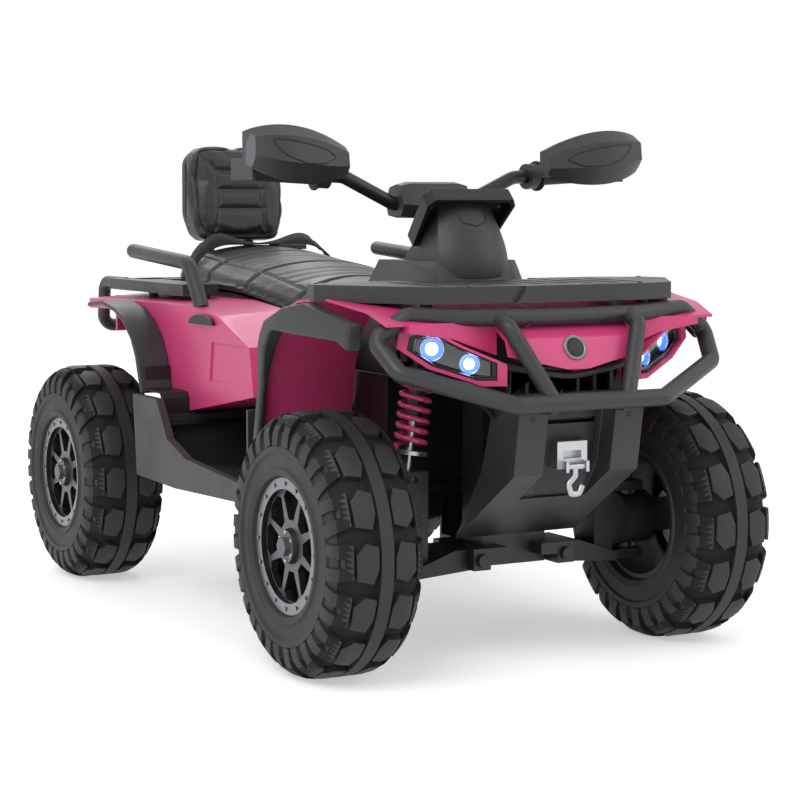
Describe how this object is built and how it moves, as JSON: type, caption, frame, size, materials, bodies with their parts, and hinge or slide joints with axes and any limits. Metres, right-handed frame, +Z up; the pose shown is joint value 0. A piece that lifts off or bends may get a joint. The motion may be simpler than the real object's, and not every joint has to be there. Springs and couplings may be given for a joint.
{
  "type": "kids quad bike",
  "caption": "Ride-on quad bike for children with sprung front arms, steering linkage, rear swing arm, bench seat with backrest, racks and a tube bumper.",
  "frame": {"origin": "centre of the bounding box on the floor", "axes": "+Z up, the front faces -Y, the rider's left is +X"},
  "size_m": [0.765, 1.424, 0.815],
  "materials": {
    "pink_gloss_plastic": "moulded, high gloss",
    "charcoal_plastic": "fine grain",
    "black_plastic": "fine grain",
    "black_painted_steel": "satin black paint",
    "steel": "zinc plated",
    "cast_aluminium": "bare cast",
    "pink_painted_steel": "gloss paint",
    "tyre_rubber": "moulded tread",
    "silver_plastic": "silver paint",
    "grip_rubber": "soft",
    "leatherette": "fine grain",
    "webbing": "woven",
    "lens_glass": "clear",
    "red_plastic": "moulded"
  },
  "bodies": {
    "chassis": {"chassis_tub": "black_plastic", "front_subframe": "black_painted_steel", "arm_pivot_bolts": "steel", "skid_plate": "charcoal_plastic", "winch_fairlead": "cast_aluminium", "front_body": "pink_gloss_plastic", "front_flares": "charcoal_plastic", "rear_body": "pink_gloss_plastic", "rear_flares": "charcoal_plastic", "footwell_left": "charcoal_plastic", "footwell_right": "charcoal_plastic", "front_rack": "charcoal_plastic", "rear_rack": "charcoal_plastic", "grab_handles": "charcoal_plastic", "seat_base": "black_plastic", "seat_cushion": "leatherette", "backrest_cushion": "leatherette", "backrest_shell": "black_plastic", "seat_belt": "webbing", "belt_buckle": "black_plastic", "front_bumper": "charcoal_plastic", "headlights": "black_plastic", "headlight_lenses": "lens_glass", "grille": "black_plastic", "dash_cowl": "charcoal_plastic", "dash_panel": "black_plastic", "battery": "black_plastic", "side_plugs": "black_plastic", "swing_pin": "steel"},
    "hook": {"winch_hook": "steel"},
    "steering": {"steering_column": "black_painted_steel", "handlebar": "black_painted_steel", "bar_cover": "charcoal_plastic", "grips": "grip_rubber", "hand_guard_left": "charcoal_plastic", "hand_guard_right": "charcoal_plastic"},
    "swing_arm": {"rear_swing_arm": "black_painted_steel", "rear_springs": "pink_painted_steel"},
    "pedal": {"accelerator_pedal": "black_plastic"},
    "button": {"start_button": "red_plastic"},
    "arm_left": {"front_arm_left": "black_plastic"},
    "knuckle_left": {"knuckle_left": "black_plastic"},
    "tie_rod_left": {"tie_rod_left": "black_painted_steel"},
    "shock_body_left": {"shock_body_left": "black_plastic"},
    "shock_rod_left": {"shock_rod_left": "steel", "shock_spring_left": "pink_painted_steel"},
    "wheel_front_left": {"tyre_front_left": "tyre_rubber", "rim_front_left": "silver_plastic"},
    "wheel_rear_left": {"tyre_rear_left": "tyre_rubber", "rim_rear_left": "silver_plastic"},
    "arm_right": {"front_arm_right": "black_plastic"},
    "knuckle_right": {"knuckle_right": "black_plastic"},
    "tie_rod_right": {"tie_rod_right": "black_painted_steel"},
    "shock_body_right": {"shock_body_right": "black_plastic"},
    "shock_rod_right": {"shock_rod_right": "steel", "shock_spring_right": "pink_painted_steel"},
    "wheel_front_right": {"tyre_front_right": "tyre_rubber", "rim_front_right": "silver_plastic"},
    "wheel_rear_right": {"tyre_rear_right": "tyre_rubber", "rim_rear_right": "silver_plastic"}
  },
  "joints": [
    {"name": "steering", "type": "hinge", "parent": "chassis", "child": "steering", "pos_m": [0, -0.225, 0.7], "axis": [0, 0.4649, 0.8854], "range_deg": [-24, 24]},
    {"name": "front_arm_left", "type": "hinge", "parent": "chassis", "child": "arm_left", "pos_m": [0.075, -0.46, 0.16], "axis": [0, -1, 0], "range_deg": [0, 6], "stiffness_Nm_per_rad": 500, "springref_deg": -14.32, "deforming": ["shock_spring_left"]},
    {"name": "kingpin_left", "type": "hinge", "parent": "arm_left", "child": "knuckle_left", "pos_m": [0.225, -0.46, 0.197], "axis": [0, 0, 1], "range_deg": [-20.5, 20.5]},
    {"name": "tie_rod_left", "type": "hinge", "parent": "knuckle_left", "child": "tie_rod_left", "pos_m": [0.215, -0.394, 0.256], "axis": [0, 0, 1], "range_deg": [-20.5, 20.5]},
    {"name": "shock_body_left", "type": "hinge", "parent": "chassis", "child": "shock_body_left", "pos_m": [0.148, -0.46, 0.47], "axis": [0, -1, 0], "range_deg": [-6, 6]},
    {"name": "shock_rod_left", "type": "hinge", "parent": "arm_left", "child": "shock_rod_left", "pos_m": [0.172, -0.46, 0.285], "axis": [0, -1, 0], "range_deg": [-12, 12]},
    {"name": "wheel_front_left", "type": "hinge", "parent": "knuckle_left", "child": "wheel_front_left", "pos_m": [0.31, -0.46, 0.197], "axis": [1, 0, 0], "continuous": true},
    {"name": "wheel_rear_left", "type": "hinge", "parent": "swing_arm", "child": "wheel_rear_left", "pos_m": [0.31, 0.5, 0.197], "axis": [1, 0, 0], "continuous": true},
    {"name": "front_arm_right", "type": "hinge", "parent": "chassis", "child": "arm_right", "pos_m": [-0.075, -0.46, 0.16], "axis": [0, 1, 0], "range_deg": [0, 6], "stiffness_Nm_per_rad": 500, "springref_deg": -14.32, "deforming": ["shock_spring_right"]},
    {"name": "kingpin_right", "type": "hinge", "parent": "arm_right", "child": "knuckle_right", "pos_m": [-0.225, -0.46, 0.197], "axis": [0, 0, 1], "range_deg": [-20.5, 20.5]},
    {"name": "tie_rod_right", "type": "hinge", "parent": "knuckle_right", "child": "tie_rod_right", "pos_m": [-0.215, -0.394, 0.256], "axis": [0, 0, 1], "range_deg": [-20.5, 20.5]},
    {"name": "shock_body_right", "type": "hinge", "parent": "chassis", "child": "shock_body_right", "pos_m": [-0.148, -0.46, 0.47], "axis": [0, 1, 0], "range_deg": [-6, 6]},
    {"name": "shock_rod_right", "type": "hinge", "parent": "arm_right", "child": "shock_rod_right", "pos_m": [-0.172, -0.46, 0.285], "axis": [0, 1, 0], "range_deg": [-12, 12]},
    {"name": "wheel_front_right", "type": "hinge", "parent": "knuckle_right", "child": "wheel_front_right", "pos_m": [-0.31, -0.46, 0.197], "axis": [1, 0, 0], "continuous": true},
    {"name": "wheel_rear_right", "type": "hinge", "parent": "swing_arm", "child": "wheel_rear_right", "pos_m": [-0.31, 0.5, 0.197], "axis": [1, 0, 0], "continuous": true},
    {"name": "rear_swing_arm", "type": "hinge", "parent": "chassis", "child": "swing_arm", "pos_m": [0, 0.27, 0.228], "axis": [1, 0, 0], "range_deg": [0, 4], "stiffness_Nm_per_rad": 900, "springref_deg": -14.32, "deforming": ["rear_springs"]},
    {"name": "winch_hook", "type": "hinge", "parent": "chassis", "child": "hook", "pos_m": [0, -0.657, 0.314], "axis": [1, 0, 0], "range_deg": [-25, 10]},
    {"name": "accelerator_pedal", "type": "hinge", "parent": "chassis", "child": "pedal", "pos_m": [-0.238, -0.085, 0.2528], "axis": [1, 0, 0], "range_deg": [0, 9], "stiffness_Nm_per_rad": 1.5, "springref_deg": -14.32},
    {"name": "start_button", "type": "slide", "parent": "chassis", "child": "button", "axis": [0, -0.7071, -0.7071], "range_m": [0, 0.0025], "stiffness_N_per_m": 400, "springref_m": -0.002}
  ],
  "couplings": [
    {"joint": "kingpin_left", "follows": "steering", "ratio": 0.8333},
    {"joint": "tie_rod_left", "follows": "steering", "ratio": -0.8333},
    {"joint": "shock_body_left", "follows": "front_arm_left", "ratio": -0.6667},
    {"joint": "shock_rod_left", "follows": "front_arm_left", "ratio": -1.6667},
    {"joint": "kingpin_right", "follows": "steering", "ratio": 0.8333},
    {"joint": "tie_rod_right", "follows": "steering", "ratio": -0.8333},
    {"joint": "shock_body_right", "follows": "front_arm_right", "ratio": -0.6667},
    {"joint": "shock_rod_right", "follows": "front_arm_right", "ratio": -1.6667}
  ]
}
